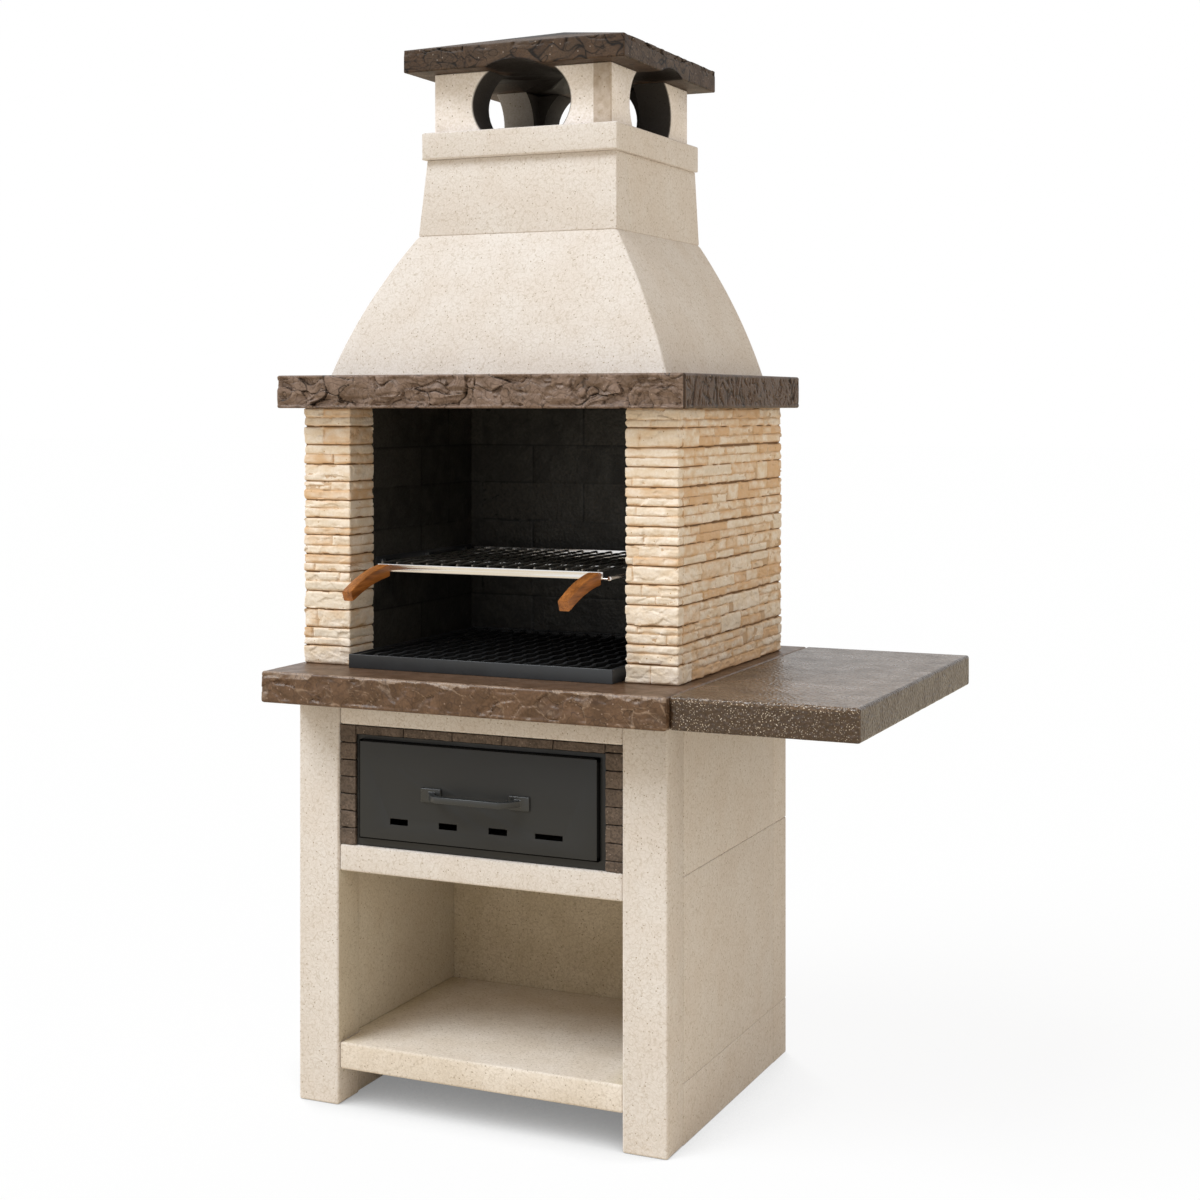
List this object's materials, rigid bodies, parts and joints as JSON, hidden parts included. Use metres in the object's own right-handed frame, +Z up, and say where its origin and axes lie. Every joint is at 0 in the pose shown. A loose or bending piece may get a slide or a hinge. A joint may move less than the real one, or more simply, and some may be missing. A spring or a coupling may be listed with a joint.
{
  "type": "masonry barbecue",
  "caption": "Free-standing cast-stone barbecue with a storage niche, ash drawer, pull-out cooking grate, side shelf, smoke hood and chimney.",
  "frame": {"origin": "middle of the footprint of the whole barbecue with its side shelf, on the floor", "axes": "+Z up, the cook stands on the -Y side, the side shelf is on the +X side"},
  "size_m": [1.2044, 0.791, 2.128],
  "materials": {
    "cast_stone": "pale cast stone, fine sanded grain, slightly rounded arrises",
    "bench_stone": "brown cast stone, rock-face front edge, smooth sealed top",
    "shelf_stone": "brown cast stone with pale specks, dimpled sealed top",
    "lintel_stone": "brown cast stone with a rock-face edge",
    "cap_stone": "grey-brown cast stone with a rock-face edge",
    "ledge_stone": "cream and ochre stone strips with a split face",
    "dark_brick": "dark brown cast brick with a rough face",
    "firebrick": "black firebrick lining with pressed joints",
    "light_concrete": "plain light concrete",
    "painted_steel": "dark grey heat-resistant paint",
    "black_steel": "black heat-resistant paint",
    "zinc_steel": "zinc-plated steel",
    "grate_chrome": "bright chrome plating",
    "grate_iron": "blackened bars",
    "coal_iron": "black cast bars",
    "handle_wood": "oiled reddish-brown hardwood"
  },
  "bodies": {
    "masonry": {"left_leg": "cast_stone", "right_leg": "cast_stone", "left_plinth_block": "cast_stone", "right_plinth_block": "cast_stone", "left_lower_panel": "cast_stone", "right_lower_panel": "cast_stone", "left_upper_panel": "cast_stone", "right_upper_panel": "cast_stone", "left_rear_column": "cast_stone", "right_rear_column": "cast_stone", "back_panel": "cast_stone", "bottom_shelf": "cast_stone", "middle_shelf": "cast_stone", "apron_beam": "cast_stone", "surround_left": "dark_brick", "surround_right": "dark_brick", "surround_top": "dark_brick", "drawer_frame": "painted_steel", "drawer_rail_left": "zinc_steel", "drawer_rail_right": "zinc_steel", "bench_slab": "bench_stone", "side_shelf": "shelf_stone", "side_shelf_dowels": "zinc_steel", "left_wall_core": "light_concrete", "right_wall_core": "light_concrete", "left_front_stones": "ledge_stone", "right_front_stones": "ledge_stone", "left_side_stones": "ledge_stone", "right_side_stones": "ledge_stone", "firebox_left_lining": "firebrick", "firebox_right_lining": "firebrick", "firebox_rear_lining": "firebrick", "firebox_rear_wall": "light_concrete", "lintel_slab": "lintel_stone", "smoke_hood": "cast_stone", "neck_front_block": "cast_stone", "neck_rear_block": "cast_stone", "collar_slab": "cast_stone", "crown_posts": "cast_stone", "cap_slab": "cap_stone", "grate_rail_left": "black_steel", "grate_rail_right": "black_steel", "rail_screws": "zinc_steel"},
    "ash_drawer": {"drawer_box": "painted_steel", "drawer_front": "painted_steel", "drawer_handle": "painted_steel"},
    "cooking_grate": {"grate_frame": "grate_chrome", "grate_rods": "grate_iron", "left_grate_handle": "handle_wood", "right_grate_handle": "handle_wood", "grate_handle_bolts": "zinc_steel"},
    "ember_tray": {"ember_tray": "black_steel"},
    "charcoal_grate": {"charcoal_grate": "coal_iron"}
  },
  "joints": [
    {"name": "drawer_slide", "type": "slide", "parent": "masonry", "child": "ash_drawer", "axis": [0, -1, 0], "range_m": [0, 0.36]},
    {"name": "grate_slide", "type": "slide", "parent": "masonry", "child": "cooking_grate", "axis": [0, -1, 0], "range_m": [0, 0.25]},
    {"name": "ember_tray_slide", "type": "slide", "parent": "masonry", "child": "ember_tray", "axis": [0, -1, 0], "range_m": [0, 0.2]},
    {"name": "charcoal_grate_lift", "type": "slide", "parent": "ember_tray", "child": "charcoal_grate", "axis": [0, 0, 1], "range_m": [0, 0.1]}
  ]
}
